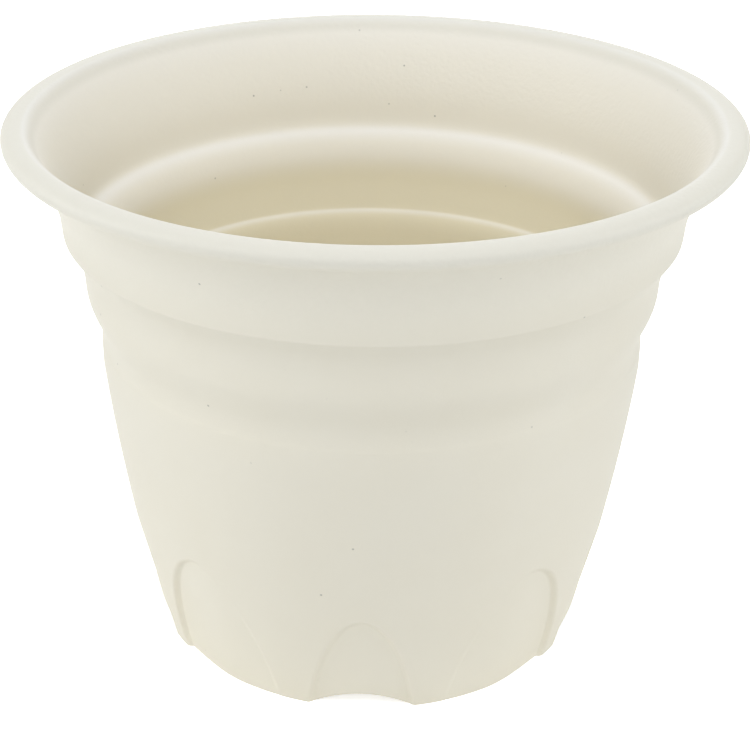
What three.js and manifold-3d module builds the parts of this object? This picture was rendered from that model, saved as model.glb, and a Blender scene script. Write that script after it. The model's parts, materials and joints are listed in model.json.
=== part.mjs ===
// Round plant pot with a rolled lip, two stepped bands and arched recesses above its base.
// Millimetres. +Z is up, the pot stands on Z = 0, and one small arch faces -Y.
import * as THREE from 'three';
import { mergeVertices } from 'three/addons/utils/BufferGeometryUtils.js';
import Module from 'manifold-3d';

const wasm = await Module();
wasm.setup();

// Driving dimensions
const rimRadius = 95;
const height = 145;
const wall = 2.5;
const sides = 72;

// Lip: a flat-topped flange with a half-round outer edge
const lipThick = 4.6;
const lipFlat = 4.2;
const lipRound = lipThick / 2;

// Upper band, down to the sharp step at its foot
const bandOneRadius = 81.4;
const bandOneTop = height - 22.4;
const bandOneFoot = height - 28.1;

// Lower band, which runs in under the step and curls in to a shallow groove
const bandTwoRadius = 79.5;
const bandTwoTop = height - 31.1;
const bandTwoWaist = 76.5;
const bandTwoTurn = height - 43.4;
const grooveRadius = 72.9;
const grooveLevel = height - 57.4;

// Tapered body, from the ridge under the groove to the standing ring
const ridgeTop = height - 60.4;
const bodyRadius = 73.3;
const bodyTop = height - 66;
const footRadius = 61.8;
const bellyRadius = 70.8;
const bellyLevel = height - 97.3;

// Two ledges inside, where the inner wall follows the bands
const ledgeOneRadius = 78.8;
const ledgeOneLevel = height - 29.8;
const ledgeTwoRadius = 72;
const ledgeTwoLevel = height - 55.2;

// Floor, raised above the ground inside the standing ring
const ringWidth = 2.6;
const floorUnder = 5;
const floorThick = 2.5;
const floorTop = floorUnder + floorThick;

// Arches: five small ones and five large ones, in turn, 36 degrees apart
const archPitch = Math.PI / 5;
const archDepth = 1.1;
const smallHalf = 13.6;
const smallHigh = 31.4;
const largeHigh = 38.6;
const evenHalf = 17;

// A leaning large arch: a crease on its near side, deepest on its far side
const nearHalf = 16.2;
const farHalf = 17.7;
const lean = 4;
const nearDepth = 0.25;
const coreShift = 9.5;
const coreTurn = THREE.MathUtils.degToRad(23);

// Notch in the standing ring under each small arch
const notchHalf = smallHalf - 0.6;
const notchHigh = 4.4;

// Drain holes: one in the middle and one in line with each small arch
const drainRadius = 5;
const drainCircle = 38;

const point = (x, y) => new THREE.Vector2(x, y);

// Points along a curve, without its first one
function along(curve, steps) {
  return curve.getPoints(steps).slice(1);
}

// Outer wall from the ground up to the top of the lip
const bodyCurve = new THREE.QuadraticBezierCurve(
  point(footRadius, 0),
  point(bellyRadius, bellyLevel),
  point(bodyRadius, bodyTop)
);
const curlCurve = new THREE.CubicBezierCurve(
  point(grooveRadius, grooveLevel),
  point(grooveRadius + 0.3, grooveLevel + 4.2),
  point(bandTwoWaist - 0.1, bandTwoTurn - 6),
  point(bandTwoWaist, bandTwoTurn)
);
const bandTwoCurve = new THREE.CubicBezierCurve(
  point(bandTwoWaist, bandTwoTurn),
  point(bandTwoWaist + 0.1, bandTwoTurn + 4.6),
  point(bandTwoWaist + 0.8, bandTwoTop - 3.7),
  point(bandTwoRadius, bandTwoTop)
);
const flareCurve = new THREE.CubicBezierCurve(
  point(bandOneRadius, bandOneTop),
  point(bandOneRadius + 0.9, bandOneTop + 8.5),
  point(rimRadius - 7.5, height - 7.5),
  point(rimRadius - 3.5, height - lipThick)
);
const lipCurve = new THREE.EllipseCurve(
  rimRadius - lipRound, height - lipRound, lipRound, lipRound, -Math.PI / 2, Math.PI / 2
);
const outside = [
  point(footRadius, 0),
  ...along(bodyCurve, 7),
  point(bodyRadius - 0.1, ridgeTop - 0.4),
  point(grooveRadius, ridgeTop + 0.6),
  ...curlCurve.getPoints(5),
  ...along(bandTwoCurve, 4),
  point(bandOneRadius - 0.1, bandOneFoot),
  ...flareCurve.getPoints(5),
  ...lipCurve.getPoints(6),
];

// Inner wall from the lip down to the floor, about one wall thickness inside the outer one
const innerLip = rimRadius - lipRound - lipFlat;
const innerFlare = new THREE.CubicBezierCurve(
  point(innerLip + 0.3, height),
  point(innerLip - 3, height - 4.5),
  point(ledgeOneRadius + 1.4, ledgeOneLevel + 14),
  point(ledgeOneRadius + 0.4, ledgeOneLevel + 5.8)
);
const innerBandOne = new THREE.CubicBezierCurve(
  point(ledgeOneRadius - 1.5, ledgeOneLevel - 2.6),
  point(ledgeOneRadius - 3.3, ledgeOneLevel - 4.4),
  point(bandTwoWaist - wall, ledgeOneLevel - 8),
  point(bandTwoWaist - wall, bandTwoTurn)
);
const innerLedgeTwo = new THREE.CubicBezierCurve(
  point(ledgeTwoRadius - 0.2, ledgeTwoLevel - 0.9),
  point(ledgeTwoRadius - 1.1, ledgeTwoLevel - 1.9),
  point(bodyRadius - wall - 0.3, ledgeTwoLevel - 4),
  point(bodyRadius - wall - 0.3, ledgeTwoLevel - 7.4)
);
const innerBody = new THREE.QuadraticBezierCurve(
  point(bodyRadius - wall - 0.3, bodyTop),
  point(bellyRadius - wall, bellyLevel),
  point(footRadius - wall + 1.3, floorTop + 2)
);
const inside = [
  ...innerFlare.getPoints(5),
  point(ledgeOneRadius, ledgeOneLevel),
  ...innerBandOne.getPoints(5),
  point(ledgeTwoRadius, ledgeTwoLevel),
  ...innerLedgeTwo.getPoints(3),
  ...innerBody.getPoints(6),
  point(footRadius - wall - 0.8, floorTop),
];

// Closed body of one surface, its seams welded
function solid(geometry) {
  const bare = geometry.clone();
  bare.deleteAttribute('normal');
  bare.deleteAttribute('uv');
  const merged = mergeVertices(bare, 1e-4);
  const corners = merged.index.array;
  const faces = [];
  for (let i = 0; i < corners.length; i += 3) {
    const [a, b, c] = [corners[i], corners[i + 1], corners[i + 2]];
    if (a !== b && b !== c && c !== a) faces.push(a, b, c);
  }
  return new wasm.Manifold(new wasm.Mesh({
    numProp: 3,
    vertProperties: new Float32Array(merged.attributes.position.array),
    triVerts: new Uint32Array(faces),
  }));
}

// Solid of revolution about Z, from a profile that runs anticlockwise off the axis
function turned(profile) {
  const geometry = new THREE.LatheGeometry(profile, sides);
  geometry.rotateX(Math.PI / 2);
  return solid(geometry);
}

// Outline drawn across the wall and up it, pushed out through the wall at a turn about Z
function throughWall(outline, turn) {
  const geometry = new THREE.ExtrudeGeometry(outline, {
    depth: 40,
    bevelEnabled: false,
    curveSegments: 9,
  });
  geometry.rotateX(Math.PI / 2);
  geometry.translate(0, -45, 0);
  geometry.rotateZ(turn);
  return solid(geometry);
}

// Small arch with its foot below the ground and a rounded top
function smallOutline() {
  const shape = new THREE.Shape();
  shape.moveTo(-smallHalf, -2);
  shape.lineTo(smallHalf, -2);
  shape.lineTo(smallHalf, 0);
  shape.bezierCurveTo(
    smallHalf * 0.9, smallHigh * 0.45, smallHalf * 0.55, smallHigh, 0, smallHigh
  );
  shape.bezierCurveTo(
    -smallHalf * 0.55, smallHigh, -smallHalf * 0.9, smallHigh * 0.45, -smallHalf, 0
  );
  return shape;
}

// Large arch, fuller than a small one, even on both sides
function evenOutline() {
  const shape = new THREE.Shape();
  shape.moveTo(-evenHalf, -2);
  shape.lineTo(evenHalf, -2);
  shape.lineTo(evenHalf, 0);
  shape.bezierCurveTo(evenHalf + 1, 14, evenHalf - 5, largeHigh, 0, largeHigh);
  shape.bezierCurveTo(5 - evenHalf, largeHigh, -evenHalf - 1, 14, -evenHalf, 0);
  return shape;
}

// Large arch that leans towards its far side, which is to the right when way is 1
function leaningOutline(way) {
  const shape = new THREE.Shape();
  shape.moveTo(-way * nearHalf, -2);
  shape.lineTo(way * farHalf, -2);
  shape.lineTo(way * farHalf, 0);
  shape.bezierCurveTo(
    way * (farHalf + 5.1), 12, way * (lean + 13.3), largeHigh - 0.4, way * lean, largeHigh
  );
  shape.bezierCurveTo(
    way * (lean - 14.2), largeHigh - 6.8, way * (1.4 - nearHalf), 13.5, -way * nearHalf, 0
  );
  return shape;
}

// Low bell shape for the notches in the standing ring
function notchOutline(half, high) {
  const shape = new THREE.Shape();
  shape.moveTo(-half, -2);
  shape.lineTo(half, -2);
  shape.lineTo(half, 0);
  shape.bezierCurveTo(half * 0.75, 0, half * 0.5, high, 0, high);
  shape.bezierCurveTo(-half * 0.5, high, -half * 0.75, 0, -half, 0);
  return shape;
}

// Shell with floor and standing ring, all one moulding
let pot = turned([
  point(0, floorUnder),
  point(footRadius - ringWidth, floorUnder),
  point(footRadius - ringWidth, 0),
  ...outside,
  ...inside,
  point(0, floorTop),
]);

// Core that stops the arches inside the wall, a given depth inside the outer face
function archCore(depth) {
  const inner = bodyCurve.getPoints(7).map((p) => point(p.x - depth, p.y));
  return turned([
    point(0, -4),
    point(footRadius - depth - 0.8, -4),
    ...inner,
    point(0, bodyTop),
  ]);
}

// The core of a leaning arch, set off to its near side so that the recess deepens away from there
function leaningCore(turn) {
  const shift = new THREE.Vector2(0, -coreShift).rotateAround(point(0, 0), turn);
  return archCore(coreShift + nearDepth).translate([shift.x, shift.y, 0]);
}

// Arched recesses: small and leaning ones in turn from the front, and the even one at the back
const evenCore = archCore(archDepth);
const smallPlaces = [0, 2, -2, 4, -4];
for (const place of smallPlaces) {
  const small = throughWall(smallOutline(), place * archPitch);
  pot = pot.subtract(small.subtract(evenCore));
  pot = pot.subtract(throughWall(notchOutline(notchHalf, notchHigh), place * archPitch));
}
for (const [place, way] of [[1, 1], [-1, -1], [3, -1], [-3, 1]]) {
  const turn = place * archPitch;
  const large = throughWall(leaningOutline(way), turn);
  const nearTurn = turn - way * (archPitch - coreTurn);
  pot = pot.subtract(large.subtract(leaningCore(nearTurn)));
}
pot = pot.subtract(throughWall(evenOutline(), Math.PI).subtract(evenCore));

// Drain holes through the floor
const drill = new THREE.CylinderGeometry(drainRadius, drainRadius, 20, 24);
drill.rotateX(Math.PI / 2);
pot = pot.subtract(solid(drill));
for (const place of smallPlaces) {
  const placed = drill.clone();
  placed.translate(0, -drainCircle, 0);
  placed.rotateZ(place * archPitch);
  pot = pot.subtract(solid(placed));
}

// Drawn surface of a finished body
function drawn(manifold) {
  const mesh = manifold.getMesh();
  const geometry = new THREE.BufferGeometry();
  geometry.setAttribute('position', new THREE.BufferAttribute(mesh.vertProperties, 3));
  geometry.setIndex(new THREE.BufferAttribute(mesh.triVerts, 1));
  geometry.computeVertexNormals();
  return geometry;
}

const ivory = new THREE.MeshStandardMaterial({
  color: '#d9d6c8',
  roughness: 0.72,
  metalness: 0,
});

const body = new THREE.Mesh(drawn(pot), ivory);
body.name = 'pot';

const plantPot = new THREE.Group();
plantPot.add(body);

export default plantPot;
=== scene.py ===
# %% [markdown]
# # A round plant pot
#
# This lesson builds the looks of a round, ivory plant pot with a rolled lip, two stepped bands, a
# tapered body and soft arches pressed in round its foot. The real pot is one moulding, so the whole
# pot is one piece here too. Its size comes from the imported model, which is loaded first and is
# never moved.

# %% Load the fixed frame
import json
import math

import bpy
import numpy as np
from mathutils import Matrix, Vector
from mathutils.geometry import interpolate_bezier

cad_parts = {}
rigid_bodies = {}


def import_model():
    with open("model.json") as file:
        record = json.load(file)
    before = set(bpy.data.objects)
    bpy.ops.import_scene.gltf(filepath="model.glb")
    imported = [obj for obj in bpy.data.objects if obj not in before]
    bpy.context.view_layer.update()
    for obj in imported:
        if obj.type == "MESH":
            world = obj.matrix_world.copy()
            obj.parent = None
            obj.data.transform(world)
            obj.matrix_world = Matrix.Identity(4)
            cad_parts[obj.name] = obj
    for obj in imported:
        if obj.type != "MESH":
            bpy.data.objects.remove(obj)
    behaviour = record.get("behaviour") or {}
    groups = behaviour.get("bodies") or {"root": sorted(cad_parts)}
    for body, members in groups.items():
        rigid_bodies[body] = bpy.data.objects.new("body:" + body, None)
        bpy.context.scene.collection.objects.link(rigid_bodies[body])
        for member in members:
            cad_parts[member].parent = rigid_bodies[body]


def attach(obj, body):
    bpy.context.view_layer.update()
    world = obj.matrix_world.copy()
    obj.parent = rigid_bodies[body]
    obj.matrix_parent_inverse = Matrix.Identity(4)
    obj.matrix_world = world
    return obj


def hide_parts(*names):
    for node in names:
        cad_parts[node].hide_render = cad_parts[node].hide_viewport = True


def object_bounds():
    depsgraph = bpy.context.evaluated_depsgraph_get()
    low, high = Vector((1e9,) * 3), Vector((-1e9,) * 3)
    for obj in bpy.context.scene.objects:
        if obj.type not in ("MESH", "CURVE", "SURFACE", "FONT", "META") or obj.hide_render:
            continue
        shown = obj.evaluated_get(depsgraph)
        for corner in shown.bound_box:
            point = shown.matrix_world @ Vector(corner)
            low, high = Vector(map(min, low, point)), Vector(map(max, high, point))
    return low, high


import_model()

cad_low, cad_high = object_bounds()
print("CAD box, mm:", [round(v * 1000, 2) for v in (*cad_low, *cad_high)])

# %% [markdown]
# ## Working in millimetres
#
# A pot is drawn in millimetres and Blender measures in metres. One number turns the one into the
# other. Every operator acts on whatever is selected, so the first helpers clear the selection,
# select one part, open it for editing and pick out points by their place, as a box or circle
# selection would. The last one reads where the points are.

# %% Units and selection
MM = 0.001


def clear_selection():
    """Leave edit mode if need be and let go of every object."""
    if bpy.context.object and bpy.context.object.mode != "OBJECT":
        bpy.ops.object.mode_set(mode="OBJECT")
    bpy.ops.object.select_all(action="DESELECT")


def select_only(part):
    """Select one part and make it the active one."""
    clear_selection()
    part.select_set(True)
    bpy.context.view_layer.objects.active = part


def edit(part):
    """Open one part in edit mode with nothing selected."""
    select_only(part)
    bpy.ops.object.mode_set(mode="EDIT")
    bpy.ops.mesh.select_mode(type="VERT")
    bpy.ops.mesh.select_all(action="DESELECT")


def pick(part, kind, chosen):
    """Select the vertices, edges or faces of the open part that are flagged, and count them."""
    bpy.ops.mesh.select_mode(type=kind)
    bpy.ops.mesh.select_all(action="DESELECT")
    bpy.ops.object.mode_set(mode="OBJECT")
    items = {"VERT": part.data.vertices, "EDGE": part.data.edges, "FACE": part.data.polygons}[kind]
    items.foreach_set("select", np.asarray(chosen, dtype=bool))
    bpy.ops.object.mode_set(mode="EDIT")
    return int(np.count_nonzero(chosen))


def places(part):
    """The part's vertices as rows of X, Y and Z in millimetres."""
    flat = np.empty(len(part.data.vertices) * 3, np.float32)
    part.data.vertices.foreach_get("co", flat)
    return flat.reshape(-1, 3).astype(float) / MM


wide, high = (cad_high.x - cad_low.x) / MM, cad_high.z / MM
print("pot, mm:", round(wide, 1), "wide,", round(high, 1), "high")

# %% [markdown]
# ## The camera
#
# The photographer stood close and looked down into the pot, so the rim looks much wider than the
# foot. The camera's place, its tilt and its lens were worked out from the ellipses of the rim, the
# bands and the foot. A small sideways shift puts the pot where the photograph has it.

# %% Camera
clear_selection()
bpy.ops.object.camera_add(
    location=(7.34 * MM, -400.46 * MM, 276.55 * MM),
    rotation=[math.radians(a) for a in (62.4396, 0.3484, 3.1772)],
)
camera = bpy.context.object
camera.name = "camera"
camera.data.sensor_width = 36
camera.data.lens = 77.35
camera.data.shift_x = 0.0842
camera.data.clip_start = 0.02
bpy.context.scene.camera = camera
print("camera:", round(camera.location.length / MM), "mm from the foot")

# %% [markdown]
# ## Drawing the wall
#
# The pot is round, so its wall is drawn once, as a line through half of its section, and turned
# round the axis. The line runs up the outside, over the lip and down the inside. Each stretch is a
# Bezier curve, the same kind of line a mould maker draws with. A helper samples a curve, and leaves
# out the first point, because the stretch before already ends there.


# %% A curve from four handles
def bend(start, out, back, end, steps):
    """Points along a Bezier stretch as (radius, height), without its first one."""
    handles = [Vector((r, 0, z)) for r, z in (start, out, back, end)]
    return [(p.x, p.z) for p in interpolate_bezier(*handles, steps + 1)[1:]]


# %% [markdown]
# ## Foot and body
#
# The pot stands on a narrow ring. From there the body widens to a faint ridge, where it stops at a
# crisp line. The lower 46 mm carry the arches, so the points lie close together there and give
# small, nearly square faces to press them into.

# %% Foot and body
body_start, body_pull, body_end = (61.8, 0.0), (70.8, 47.7), (73.3, 79.0)


def body_at(t):
    """Radius and height on the body's long curve."""
    weights = ((1 - t) ** 2, 2 * t * (1 - t), t * t)
    points = (body_start, body_pull, body_end)
    return tuple(sum(w * p[i] for w, p in zip(weights, points)) for i in (0, 1))


ring_foot = [(59.3, 0.0), (61.4, 0.0), (61.72, 0.12)]
body_low = [body_at(t) for t in np.linspace(0.005, 0.54, 30)]
body_high = [body_at(t) for t in np.linspace(0.575, 1.0, 11)]
ridge = [(73.28, 80.6), (73.27, 82.6), (73.24, 84.4), (73.18, 84.95), (73.06, 85.3)]
outside = ring_foot + body_low + body_high + ridge
print("body:", len(outside), "points, up to", outside[-1][1], "mm")

# %% [markdown]
# ## The two bands
#
# Above the ridge the wall curls out into the lower band. The upper band ends in a sharp edge that
# overhangs it, which is the clearest line on the pot. Three close points give that edge the tiny
# radius a mould leaves, so it catches light instead of cutting through it.

# %% Bands
outside += bend(outside[-1], (72.96, 86.2), (72.96, 87.2), (73.0, 88.2), 3)
outside += bend(outside[-1], (73.1, 93.2), (76.3, 96.3), (76.5, 101.6), 11)
outside += bend(outside[-1], (76.6, 106.4), (77.25, 110.7), (79.45, 114.0), 9)
outside += bend(outside[-1], (80.1, 114.9), (80.7, 115.9), (81.2, 116.65), 3)
outside += [(81.38, 116.95), (81.45, 117.4)]
outside += bend(outside[-1], (81.6, 119.2), (81.7, 120.6), (81.9, 122.6), 3)
print("bands:", len(outside), "points so far, widest", round(max(r for r, z in outside), 1))

# %% [markdown]
# ## Flare and lip
#
# The upper band flares out under a rolled lip 4.75 mm thick. The lip is flat on top only for a
# moment: its outer edge is a full round and its inner edge runs softly down into the pot.

# %% Flare and lip
outside += bend(outside[-1], (82.8, 129.5), (87.2, 137.0), (91.0, 140.0), 11)
outside += bend(outside[-1], (91.3, 140.22), (91.9, 140.25), (92.9, 140.25), 3)
outside += bend(outside[-1], (94.0, 140.3), (95.0, 141.5), (95.0, 142.8), 7)
outside += bend(outside[-1], (95.0, 144.3), (93.2, 145.0), (91.0, 145.0), 9)
lip_in = bend(outside[-1], (89.3, 145.0), (88.4, 144.5), (87.5, 143.1), 7)
print("lip: crest at radius", round(outside[-1][0], 1), "and inner edge at", lip_in[-1][0])

# %% [markdown]
# ## The inside
#
# Each step outside has its twin inside, because the wall is thin. Seen from above, the twins are
# two bright ledges: a broad soft one and, lower down, one with a crisp rim. The floor is 2.5 mm
# thick and stands off the ground, inside the standing ring. The drawing turns round the rim of the
# middle drain hole and goes back under the floor to the ring.

# %% Inside and floor
floor_top, floor_under = 7.5, 5.0
drain = 5.0
inside = lip_in
inside += bend(inside[-1], (84.8, 139.2), (80.2, 130.0), (79.2, 121.0), 11)
inside += bend(inside[-1], (79.0, 118.4), (78.95, 117.0), (78.75, 115.4), 3)
inside += bend(inside[-1], (78.5, 113.9), (77.9, 113.3), (77.15, 112.5), 5)
inside += bend(inside[-1], (75.8, 111.1), (74.0, 107.8), (73.9, 102.5), 11)
inside += bend(inside[-1], (73.8, 97.5), (72.8, 94.0), (71.95, 89.65), 8)
inside += bend(inside[-1], (71.85, 89.2), (71.7, 89.0), (71.35, 88.65), 3)
inside += bend(inside[-1], (70.65, 87.95), (69.7, 86.0), (69.6, 81.2), 8)
inside += [(69.55, 79.0)]
inside += bend(inside[-1], (68.5, 58.0), (65.0, 33.0), (60.9, 11.4), 11)
inside += bend(inside[-1], (60.4, 8.6), (59.9, floor_top), (57.2, floor_top), 5)
floor = [(r, floor_top) for r in (46.0, 30.0, 6.2)]
floor += bend(floor[-1], (5.3, floor_top), (drain, 7.2), (drain, 6.7), 3)
floor += bend((drain, 5.8), (drain, 5.3), (5.3, floor_under), (6.2, floor_under), 3)
floor += [(r, floor_under) for r in (30.0, 46.0, 57.2)]
floor += [(58.8, 4.95), (59.0, 4.75), (59.1, 0.25)]
section = outside + inside + floor
print("section:", len(section), "points")

# %% [markdown]
# ## Turning the pot
#
# By hand, this is a plane merged to one point and then extruded point by point along the drawing.
# The line is closed at the foot and never touches the axis, because of the drain hole in the
# middle, so turning it gives a closed wall with no pole. Spin turns it, points left double at the
# seam would be merged, and the normals are made to point out.

# %% Extrude the section and spin it
clear_selection()
bpy.ops.mesh.primitive_plane_add(size=1 * MM, location=(section[0][0] * MM, 0, section[0][1] * MM))
pot = bpy.context.object
pot.name = pot.data.name = "pot_moulding"
bpy.ops.object.transform_apply(location=True, rotation=True, scale=True)
bpy.ops.object.mode_set(mode="EDIT")
bpy.ops.mesh.select_all(action="SELECT")
bpy.ops.mesh.merge(type="CENTER")
for (r0, z0), (r1, z1) in zip(section, section[1:]):
    step = ((r1 - r0) * MM, 0, (z1 - z0) * MM)
    bpy.ops.mesh.extrude_region_move(TRANSFORM_OT_translate={"value": step})
pick(pot, "VERT", [i in (0, len(section) - 1) for i in range(len(section))])
bpy.ops.mesh.edge_face_add()
bpy.ops.mesh.select_all(action="SELECT")
bpy.ops.mesh.spin(steps=240, angle=math.tau, center=(0, 0, 0), axis=(0, 0, 1))
bpy.ops.mesh.select_all(action="SELECT")
bpy.ops.mesh.remove_doubles(threshold=0.004 * MM)
bpy.ops.mesh.normals_make_consistent(inside=False)
bpy.ops.object.mode_set(mode="OBJECT")
print("turned:", len(pot.data.vertices), "points,", len(pot.data.polygons), "faces")

# %% [markdown]
# ## Drain holes
#
# Five more holes lie in line with the small arches. They go in now, while the floor is only a few
# broad faces: a cylinder is copied round the axis, a Boolean cuts all five, and the rims are then
# bevelled, because a moulded hole has no knife edge.

# %% Cut the drain holes
hole_ring = 38.0
clear_selection()
bpy.ops.mesh.primitive_cylinder_add(
    vertices=48, radius=drain * MM, depth=20 * MM, location=(0, -hole_ring * MM, 6 * MM)
)
drill = bpy.context.object
bpy.ops.object.transform_apply(location=True, rotation=True, scale=True)
bpy.ops.object.mode_set(mode="EDIT")
for _ in range(4):
    bpy.ops.mesh.select_linked()
    bpy.ops.mesh.duplicate()
    bpy.ops.transform.rotate(value=math.radians(72), orient_axis="Z", center_override=(0, 0, 0))
select_only(pot)
cut = pot.modifiers.new("drain holes", "BOOLEAN")
cut.operation, cut.object, cut.solver = "DIFFERENCE", drill, "EXACT"
bpy.ops.object.modifier_apply(modifier=cut.name)
bpy.data.objects.remove(drill)
print("drilled:", len(pot.data.polygons), "faces")

# %% Bevel the rims of the drain holes
edit(pot)
at = places(pot)
rim = np.zeros(len(at), bool)
in_floor = (at[:, 2] > floor_under - 0.1) & (at[:, 2] < floor_top + 0.1)
for angle in np.arange(5) * math.tau / 5:
    x, y = hole_ring * math.sin(angle), -hole_ring * math.cos(angle)
    away = np.hypot(at[:, 0] - x, at[:, 1] - y)
    rim |= (abs(away - drain) < 0.05) & in_floor
level = [abs(at[e.vertices[0]][2] - at[e.vertices[1]][2]) < 0.1 for e in pot.data.edges]
on_rim = [bool(rim[e.vertices[0]] and rim[e.vertices[1]]) for e in pot.data.edges]
count = pick(pot, "EDGE", np.logical_and(level, on_rim))
bpy.ops.mesh.bevel(offset=0.4 * MM, segments=2, affect="EDGES")
bpy.ops.object.mode_set(mode="OBJECT")
print("bevelled:", count, "rim edges")

# %% [markdown]
# ## Notches in the standing ring
#
# Under each of the five small arches the ring lifts off the ground in a low bell shape, so that
# water can run out. By hand, one would take the lowest points there and pull them up along the wall
# with proportional editing. All but the foot and the outer wall is hidden first, because hidden
# points stay put. A radius between the wall's two faces tells which one a point is on.


# %% Lift the notches
def between_faces(up):
    """Radius inside the thickness of the body's wall, at each height."""
    return np.interp(up, [0, 80], [60.6, 72.4])


notch_high, notch_out, notch_reach = 4.4, 0.9, 12.8
edit(pot)
at = places(pot)
radius = np.hypot(at[:, 0], at[:, 1])
wall_outside = (at[:, 2] < 80) & (radius > between_faces(at[:, 2]))
foot_ring = (at[:, 2] < 0.3) & (radius > 58.5)
pick(pot, "VERT", ~(foot_ring | wall_outside))
bpy.ops.mesh.hide(unselected=False)
for turn in (0, 72, -72, 144, -144):
    outward = (math.sin(math.radians(turn)), -math.cos(math.radians(turn)))
    across = at[:, 0] * -outward[1] + at[:, 1] * outward[0]
    ahead = at[:, 0] * outward[0] + at[:, 1] * outward[1]
    count = pick(pot, "VERT", foot_ring & (abs(across) < 1.0) & (ahead > 50))
    bpy.ops.transform.translate(
        value=(outward[0] * notch_out * MM, outward[1] * notch_out * MM, notch_high * MM),
        use_proportional_edit=True,
        proportional_edit_falloff="INVERSE_SQUARE",
        proportional_size=notch_reach * MM,
    )
bpy.ops.mesh.reveal(select=False)
bpy.ops.object.mode_set(mode="OBJECT")
print("notches: lifted", count, "points each, foot now at", round(places(pot)[:, 2].min(), 3))

# %% [markdown]
# ## Where the arches are
#
# Five small arches and five large ones alternate round the pot, 36 degrees apart. A small one faces
# the viewer. The large ones beside it lean a little away from it, and they are deepest on their far
# side, so their two sides are two different curves. The pattern is the same left and right, so each
# entry of the list below, an angle from the front, a way to lean and a name, stands for both sides.

# %% Outlines of the arches
near_side, far_side = {}, {}
far_side["small"] = bend((13.6, 0), (12.24, 14.1), (7.5, 31.4), (0, 31.4), 300)
far_side["even"] = bend((17.0, 0), (18.0, 14.0), (12.0, 38.6), (0, 38.6), 300)
for name in ("small", "even"):
    near_side[name] = [(-x, z) for x, z in far_side[name]]
near_side["leaning"] = bend((-16.2, 0), (-14.8, 13.5), (-10.2, 31.8), (4.0, 38.6), 300)
far_side["leaning"] = bend((17.7, 0), (22.8, 12.0), (17.3, 38.2), (4.0, 38.6), 300)
ARCHES = (
    (0, 1, "small"), (36, 1, "leaning"), (72, 1, "small"),
    (108, -1, "leaning"), (144, -1, "small"), (180, 1, "even"),
)
arch_zone = 44.0
print("arches:", len(ARCHES), "places in the list, ten in all, below", arch_zone, "mm")

# %% [markdown]
# Each point of the wall is compared with every outline. The result is how far it lies inside the
# arch, negative outside it, and where it stands between the arch's near and far side. The outlines
# are carried on for 4 mm under the ground, or the arches would seem to end at the foot.


# %% Distance to the outlines
def inside_by(across, up, name):
    """Millimetres that each point lies inside one outline, negative outside it."""
    near, far = np.array(near_side[name]), np.array(far_side[name])
    feet = [(line[0, 0], -z / 10) for line in (near, far) for z in range(0, 40)]
    edge = np.vstack([near, far, feet])
    gaps = np.full(len(up), 1e9)
    for start in range(0, len(edge), 40):
        part = edge[start:start + 40]
        gap = np.hypot(across[:, None] - part[:, 0], up[:, None] - part[:, 1])
        gaps = np.minimum(gaps, gap.min(axis=1))
    left = np.interp(up, near[:, 1], near[:, 0], right=99.0)
    right = np.interp(up, far[:, 1], far[:, 0], right=-99.0)
    return np.where((across > left) & (across < right), gaps, -gaps)


def arch_reach(at):
    """For each place: millimetres inside the nearest arch, its distance across it, and its kind."""
    turn = np.abs(np.degrees(np.arctan2(at[:, 0], -at[:, 1])))
    radius = np.hypot(at[:, 0], at[:, 1])
    reach, across = np.full(len(at), -99.0), np.zeros(len(at))
    kind = np.full(len(at), "none", dtype="U8")
    for centre, way, name in ARCHES:
        close = np.abs(turn - centre) < 24
        over = way * radius[close] * np.sin(np.radians(turn[close] - centre))
        gap = inside_by(over, at[close, 2], name)
        better = gap > reach[close]
        index = np.nonzero(close)[0][better]
        reach[index], across[index], kind[index] = gap[better], over[better], name
    return reach, across, kind


print("outline of a large arch:", len(near_side["leaning"]) * 2, "points")

# %% [markdown]
# ## A finer mesh along the outlines
#
# The side of an arch is less than 2 mm wide, so the faces there must be much smaller than that.
# Faces in a band along the outlines are subdivided twice, and the rest of the wall stays as it is.
# The bands are a little wider outside the outline than inside, as the side itself is.

# %% Subdivide along the outlines
side_middle = -0.1
for band, cuts in ((2.9, 1), (1.6, 2)):
    edit(pot)
    middle = np.array([tuple(p.center) for p in pot.data.polygons]) / MM
    radius = np.hypot(middle[:, 0], middle[:, 1])
    low = (middle[:, 2] < arch_zone) & (radius > between_faces(middle[:, 2]))
    reach = np.full(len(middle), -99.0)
    reach[low] = arch_reach(middle[low])[0]
    count = pick(pot, "FACE", low & (np.abs(reach - side_middle) < band))
    bpy.ops.mesh.subdivide(number_cuts=cuts)
    bpy.ops.object.mode_set(mode="OBJECT")
    print("subdivided", count, "faces, now", len(pot.data.polygons))

# %% [markdown]
# ## Pressing the arches in
#
# A small arch is a shallow recess, deepest at the ground. A large one starts as a mere crease on
# its near side and grows to 1.6 mm on its far side. Each side wall begins as a soft round on the
# pot's face and ends in a crisp corner at the bottom of the recess. A weight on each point says how
# deep it goes, as a painted mask would, and a Cast modifier then pulls the weighted points towards
# a cylinder inside the wall. Cast moves points only level, so the foot stays flat. The flat of the
# standing ring, inside a radius of 61 mm, is left out.

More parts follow.
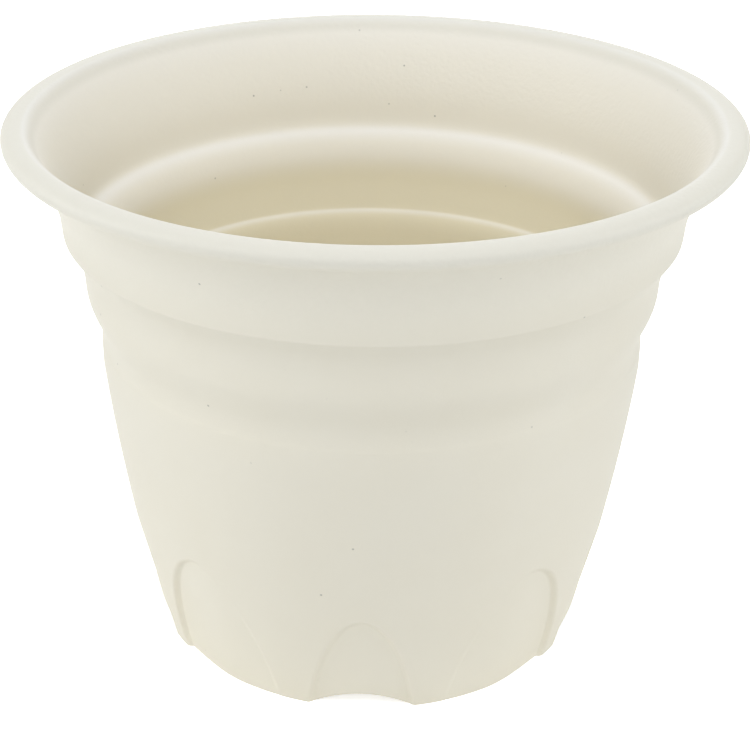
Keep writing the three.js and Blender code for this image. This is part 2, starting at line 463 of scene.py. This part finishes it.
# %% Weights and Cast
at = places(pot)
radius = np.hypot(at[:, 0], at[:, 1])
low = (at[:, 2] < arch_zone) & (radius > np.interp(at[:, 2], [0, 0.3, 80], [60.6, 61.0, 72.4]))
reach, across = np.full(len(at), -99.0), np.zeros(len(at))
kind = np.full(len(at), "none", dtype="U8")
reach[low], across[low], kind[low] = arch_reach(at[low])
near_leaning = (kind == "leaning") & (across < 0)
starts = np.where(near_leaning, 0.6, 0.75)
width = np.where(near_leaning, 1.1, 1.4)
side = np.clip((reach + starts) / width, 0, 1) ** 2
grow_from, grow_over = -4.0, 18.5
grown = np.clip((across - grow_from) / grow_over, 0, 1)
grown = grown * grown * (3 - 2 * grown)
up = at[:, 2]
crease = np.interp(up, [0, 4, 20, 29, 34], [0.12, 0.3, 0.3, 0.08, 0.0])
deep_leaning = crease + grown * np.interp(up, [0, 15], [1.15, 1.3])
deep = np.where(kind == "leaning", deep_leaning, np.interp(up, [0, 31], [1.15, 0.75]))
core = 40.0
strength = 0.08
weight = side * deep / (strength * np.maximum(radius - core, 1.0))
print("weights up to", round(float(weight.max()), 2))
mask = pot.vertex_groups.new(name="arches")
for i in np.nonzero(weight > 0.0005)[0]:
    mask.add([int(i)], float(weight[i]), "REPLACE")
select_only(pot)
press = pot.modifiers.new("arches", "CAST")
press.cast_type, press.factor, press.size = "CYLINDER", strength, core * MM
press.use_radius_as_size = press.use_z = False
press.vertex_group = "arches"
bpy.ops.object.modifier_apply(modifier=press.name)
pot.vertex_groups.clear()
after = places(pot)
pressed = radius - np.hypot(after[:, 0], after[:, 1])
print("pressed in by up to", round(float(pressed.max()), 2), "mm")

# %% Smooth the new edges
edit(pot)
pick(pot, "VERT", low & (np.abs(reach - side_middle) < 1.3) & (at[:, 2] > 0.4))
bpy.ops.mesh.vertices_smooth(factor=0.5, repeat=2)
select_only(pot)
bpy.ops.object.shade_smooth_by_angle(angle=math.radians(50))
faces = sum(len(p.vertices) - 2 for p in pot.data.polygons)
print("pot:", faces, "triangles")

# %% [markdown]
# ## Adding nodes
#
# Materials are built from nodes. One helper adds a node, sets its options, fills its inputs with
# values or links, and hands back the output that the next node reads. Colours are written as on a
# colour card, in sRGB, and turned to the linear values the shader needs.


# %% Node and colour helpers
def add_node(tree, kind, inputs=None, out=None, **settings):
    """Add a node with its settings and links, and return one of its outputs."""
    made = tree.nodes.new(kind)
    for name, value in settings.items():
        setattr(made, name, value)
    for name, value in (inputs or {}).items():
        socket = next(s for s in made.inputs if s.name == name and s.enabled)
        if isinstance(value, bpy.types.NodeSocket):
            tree.links.new(value, socket)
        else:
            socket.default_value = value
    return next((s for s in made.outputs if s.enabled and out in (None, s.name)), None)


def linear(code):
    """Linear colour with alpha from an sRGB hex code such as #DAD7C8."""
    parts = [int(code[i:i + 2], 16) / 255 for i in (1, 3, 5)]
    return (*[c / 12.92 if c <= 0.04045 else ((c + 0.055) / 1.055) ** 2.4 for c in parts], 1.0)


def empty_tree(data):
    """The node tree of a new material or world, with nothing in it."""
    data.use_nodes = True
    data.node_tree.nodes.clear()
    return data.node_tree


print("ivory, linear:", [round(c, 3) for c in linear("#E0DDCD")])

# %% [markdown]
# ## Ivory moulded plastic
#
# The real wall is a matt polypropylene filled with fine plant fibre, injection moulded in a mould
# with a sandblasted surface. To the eye that is an even ivory without shine, a grain of a few
# tenths of a millimetre that breaks up the light, a coarser pebbled skin on the lip where the melt
# cooled first, and here and there a dark speck of fibre. All patterns read Object coordinates in
# metres, so a scale of 1 / 0.0013 gives spots of about 1.3 mm.

# %% Start the plastic
plastic = bpy.data.materials.new("ivory_fibre_filled_polypropylene_moulded_matt")
tree = empty_tree(plastic)
where = add_node(tree, "ShaderNodeTexCoord", out="Object")
height = add_node(tree, "ShaderNodeSeparateXYZ", {"Vector": where}, out="Z")
print("plastic: reads", where.name, "coordinates")

# %% [markdown]
# ### The pebbled top
#
# Height is enough to tell the flare and the lip from the body: the pebbled skin fades in on the
# upper band, 116 to 128 mm up. The same mask paints the outside there paler, as painted light.

# %% Where the skin is pebbled
upper = add_node(
    tree, "ShaderNodeMapRange",
    {"Value": height, "From Min": 0.116, "From Max": 0.128},
    interpolation_type="SMOOTHSTEP",
)
print("pebbled skin: from 116 mm up")

# %% [markdown]
# ### Colour
#
# The ivory drifts very slightly between paler and warmer over a few centimetres, as the filler
# settles. The rest is painted light and shade. Towards the mouth the wall is painted paler, as
# painted light, and the lip darker and cooler, as painted shade, less so on its inner slope.
# Deep inside the wall is painted warmer, as painted bounce light, where the light has gone from
# wall to wall more often than a render follows it, and a ledge is painted paler, a painted
# highlight, since it sees the open mouth. The way a surface faces tells these apart: inside it
# faces the pot's axis, and on a ledge it faces up.

# %% Drift of the ivory
drift = add_node(
    tree, "ShaderNodeTexNoise", {"Vector": where, "Scale": 1 / 0.022, "Detail": 2.0}, out="Fac"
)
ivory = add_node(
    tree, "ShaderNodeMix",
    {"Factor": drift, "A": linear("#E1D9C1"), "B": linear("#E3DCC6")},
    data_type="RGBA",
)
print("ivory drifts over 22 mm")

# %% Inside and ledges
facing = add_node(tree, "ShaderNodeTexCoord", out="Normal")
level_place = add_node(
    tree, "ShaderNodeVectorMath", {"Vector": where}, out="Vector", operation="MULTIPLY"
)
level_place.node.inputs[1].default_value = (1, 1, 0)
from_axis = add_node(
    tree, "ShaderNodeVectorMath", {"Vector": level_place}, out="Vector", operation="NORMALIZE"
)
outward = add_node(
    tree, "ShaderNodeVectorMath", {"Vector": facing}, out="Value", operation="DOT_PRODUCT"
)
tree.links.new(from_axis, outward.node.inputs[1])
is_inside = add_node(
    tree, "ShaderNodeMapRange", {"Value": outward, "From Min": 0.0, "From Max": -0.4},
    interpolation_type="SMOOTHSTEP",
)
upward = add_node(tree, "ShaderNodeSeparateXYZ", {"Vector": facing}, out="Z")
is_ledge = add_node(
    tree, "ShaderNodeMapRange", {"Value": upward, "From Min": 0.4, "From Max": 1.0}
)
print("inside: faces the axis; ledge: faces up")

# %% Colour of the inside and of the lip
# Painted light and bounce: inside, the wall is painted paler above 107 mm and warmer below 98 mm.
by_depth = add_node(
    tree, "ShaderNodeMapRange", {"Value": height, "From Min": 0.098, "From Max": 0.107},
    interpolation_type="SMOOTHSTEP",
)
inside_ivory_with_painted_light = add_node(
    tree, "ShaderNodeMix",
    {"Factor": by_depth, "A": linear("#E2D8B9"), "B": linear("#EBE4D0")},
    data_type="RGBA",
)
# Painted highlight: inside faces that turn up, the ledges, are painted paler, as if lit from the
# mouth.
lit_inside = add_node(
    tree, "ShaderNodeMix",
    {"Factor": is_ledge, "A": inside_ivory_with_painted_light, "B": linear("#F0ECE2")},
    data_type="RGBA",
)
# Painted light: from 116 mm up the outside is painted paler, since the downward-facing flare gets
# less light.
outside_ivory_with_painted_light = add_node(
    tree, "ShaderNodeMix",
    {"Factor": upper, "A": ivory, "B": linear("#E7E0CA")},
    data_type="RGBA",
)
wall_ivory_with_painted_light = add_node(
    tree, "ShaderNodeMix",
    {"Factor": is_inside, "A": outside_ivory_with_painted_light, "B": lit_inside},
    data_type="RGBA",
)
# Painted shade: the lip is painted darker and cooler against the light it catches, less inside.
lip_share = add_node(
    tree, "ShaderNodeMapRange", {"Value": is_inside, "To Min": 1.0, "To Max": 0.7}
)
lip_zone = add_node(
    tree, "ShaderNodeMapRange",
    {"Value": height, "From Min": 0.1405, "From Max": 0.1430, "To Max": lip_share},
    interpolation_type="SMOOTHSTEP",
)
ivory_with_painted_light_and_shade = add_node(
    tree, "ShaderNodeMix",
    {"Factor": lip_zone, "A": wall_ivory_with_painted_light, "B": linear("#DED8C4")},
    data_type="RGBA",
)
print("inside: warmer below 100 mm, paler above it")

# %% [markdown]
# ### Specks
#
# The specks are points of a 3-D cell pattern. With cells 9 mm wide and specks about 0.3 mm in
# radius, the wall cuts one every few centimetres. Each cell also has a random colour, and its red
# says how dark the speck is.

# %% Dark specks
distance = add_node(
    tree, "ShaderNodeTexVoronoi", {"Vector": where, "Scale": 1 / 0.009}, out="Distance"
)
cell_colour = distance.node.outputs["Color"]
chance = add_node(tree, "ShaderNodeSeparateColor", {"Color": cell_colour}, out="Red")
darkest = add_node(tree, "ShaderNodeMapRange", {"Value": chance, "To Min": 0.15, "To Max": 0.7})
speck = add_node(
    tree, "ShaderNodeMapRange",
    {"Value": distance, "From Min": 0.022, "From Max": 0.042, "To Min": darkest, "To Max": 0.0},
)
colour = add_node(
    tree, "ShaderNodeMix",
    {"Factor": speck, "A": ivory_with_painted_light_and_shade, "B": linear("#8A8672")},
    data_type="RGBA",
)
print("specks: about 0.3 mm in radius")

# %% [markdown]
# ### Grain
#
# Two noises make the relief. The sandblasted grain is finer than the picture can show, so it is
# drawn at 0.5 mm. The pebbles are 1.3 mm wide and five times as strong near the lip as on the body.
# A sandblasted face scatters most of its gloss, so the specular level is below the usual half.

# %% Relief and shader
grain = add_node(
    tree, "ShaderNodeTexNoise", {"Vector": where, "Scale": 1 / 0.0005, "Detail": 2.0}, out="Fac"
)
pebbles = add_node(
    tree, "ShaderNodeTexNoise", {"Vector": where, "Scale": 1 / 0.0013, "Detail": 1.0}, out="Fac"
)
pebble_height = add_node(
    tree, "ShaderNodeMapRange", {"Value": upper, "To Min": 0.2, "To Max": 1.0}
)
fine = add_node(
    tree, "ShaderNodeBump", {"Height": grain, "Strength": 1.0, "Distance": 0.000016}
)
relief = add_node(
    tree, "ShaderNodeBump",
    {"Height": pebbles, "Strength": pebble_height, "Distance": 0.0001, "Normal": fine},
)
roughness = add_node(
    tree, "ShaderNodeMapRange", {"Value": grain, "To Min": 0.55, "To Max": 0.68}
)
surface = add_node(
    tree, "ShaderNodeBsdfPrincipled",
    {
        "Base Color": colour, "Roughness": roughness, "IOR": 1.49, "Specular IOR Level": 0.3,
        "Normal": relief,
    },
    out="BSDF",
)
add_node(tree, "ShaderNodeOutputMaterial", {"Surface": surface})
pot.data.materials.clear()
pot.data.materials.append(plastic)
print("plastic:", len(tree.nodes), "nodes")

# %% [markdown]
# ## The floor
#
# The pot stands on white paper on a lit table: the photo's pot grows lighter towards its foot, so
# light must come up round it. The paper glows faintly for 8 cm round the pot. To the camera it is
# also lifted to white, so it melts into the background but keeps a trace of the pot's shadow. Far
# from the lamps it is lifted more, or it would end in a grey band. A helper tells the rays of the
# camera, with those that a gloss or a clear piece passes on, from the rays that carry light.


# %% Floor
def seen_directly(tree):
    """1 where the camera looks, straight or by way of a gloss or a clear piece, and 0 for light."""
    path = add_node(tree, "ShaderNodeLightPath", out="Is Camera Ray")
    total = path
    for ray in ("Is Glossy Ray", "Is Transmission Ray"):
        total = add_node(tree, "ShaderNodeMath", {"Value": total}, operation="ADD", use_clamp=True)
        tree.links.new(path.node.outputs[ray], total.node.inputs[1])
    return total


clear_selection()
bpy.ops.mesh.primitive_plane_add(size=8, location=(0, 0, 0))
floor_sheet = bpy.context.object
floor_sheet.name = "paper_floor"
paper = bpy.data.materials.new("white_paper_matt")
tree = empty_tree(paper)
spot = add_node(tree, "ShaderNodeTexCoord", out="Object")
out_from_pot = add_node(
    tree, "ShaderNodeVectorMath", {"Vector": spot}, out="Value", operation="LENGTH"
)
table = add_node(
    tree, "ShaderNodeMapRange",
    {"Value": out_from_pot, "From Min": 0.062, "From Max": 0.14, "To Min": 0.16, "To Max": 0.0},
    interpolation_type="SMOOTHSTEP",
)
lift = add_node(
    tree, "ShaderNodeMapRange",
    {"Value": out_from_pot, "From Min": 0.3, "From Max": 1.2, "To Min": 0.54, "To Max": 1.0},
)
seen = seen_directly(tree)
strength = add_node(
    tree, "ShaderNodeMapRange", {"Value": seen, "From Max": 1.0, "To Min": table, "To Max": lift}
)
glow = add_node(tree, "ShaderNodeEmission", {"Strength": strength})
lit = add_node(tree, "ShaderNodeBsdfDiffuse", {"Color": linear("#F2F2F1")})
both = add_node(tree, "ShaderNodeAddShader")
tree.links.new(lit, both.node.inputs[0])
tree.links.new(glow, both.node.inputs[1])
add_node(tree, "ShaderNodeOutputMaterial", {"Surface": both})
floor_sheet.data.materials.append(paper)
print("floor:", floor_sheet.name)

# %% [markdown]
# ## Light
#
# The photograph was lit by large soft lamps in a white room: most from high in front, then from the
# left, a little less from the right and from straight above, and least from behind. Five square
# lamps do that, at a level where the ivory shows about as it is written. The world is white to the
# camera and only dim as a lamp. All of the light is daylight, a touch cooler than the pot.

# %% World
world = bpy.data.worlds.new("light_tent")
bpy.context.scene.world = world
tree = empty_tree(world)
DAYLIGHT = (0.955, 1.0, 1.12)
seen = seen_directly(tree)
room = add_node(tree, "ShaderNodeBackground", {"Color": (*DAYLIGHT, 1), "Strength": 0.14})
wall = add_node(tree, "ShaderNodeBackground", {"Color": (1, 1, 1, 1), "Strength": 1.0})
both = add_node(tree, "ShaderNodeMixShader", {"Fac": seen})
tree.links.new(room, both.node.inputs[1])
tree.links.new(wall, both.node.inputs[2])
add_node(tree, "ShaderNodeOutputWorld", {"Surface": both})
print("world: white to the camera, dim daylight as a lamp")


# %% Lamps
def softbox(name, place, size, power):
    """Add a square lamp of so many watts at a place in metres, aimed at the middle of the pot."""
    clear_selection()
    aim = (Vector((0, 0, 0.08)) - Vector(place)).to_track_quat("-Z", "Y")
    bpy.ops.object.light_add(type="AREA", location=place, rotation=aim.to_euler())
    lamp = bpy.context.object
    lamp.name = name
    lamp.data.shape, lamp.data.size, lamp.data.energy = "SQUARE", size, power
    lamp.data.color = DAYLIGHT


softbox("lamp_left", (-1.0, -0.15, 0.42), 0.9, 5.6)
softbox("lamp_right", (1.0, -0.1, 0.36), 0.9, 4.85)
softbox("lamp_front", (0.0, -1.0, 1.0), 0.9, 9.0)
softbox("lamp_back", (0.0, 1.0, 0.6), 0.9, 4.2)
softbox("lamp_top", (0.0, 0.1, 1.3), 1.2, 5.6)
print("lamps: left, right, front, back, top")

# %% [markdown]
# ## Handing over
#
# The pot rides on the model's only body, takes the place of its one solid and names the material
# that the record lists. The colour view stays plain, so nothing bends the tones.

# %% Tie the piece to the frame
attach(pot, "root")
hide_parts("pot")
bpy.context.scene.view_settings.view_transform = "Standard"
clear_selection()
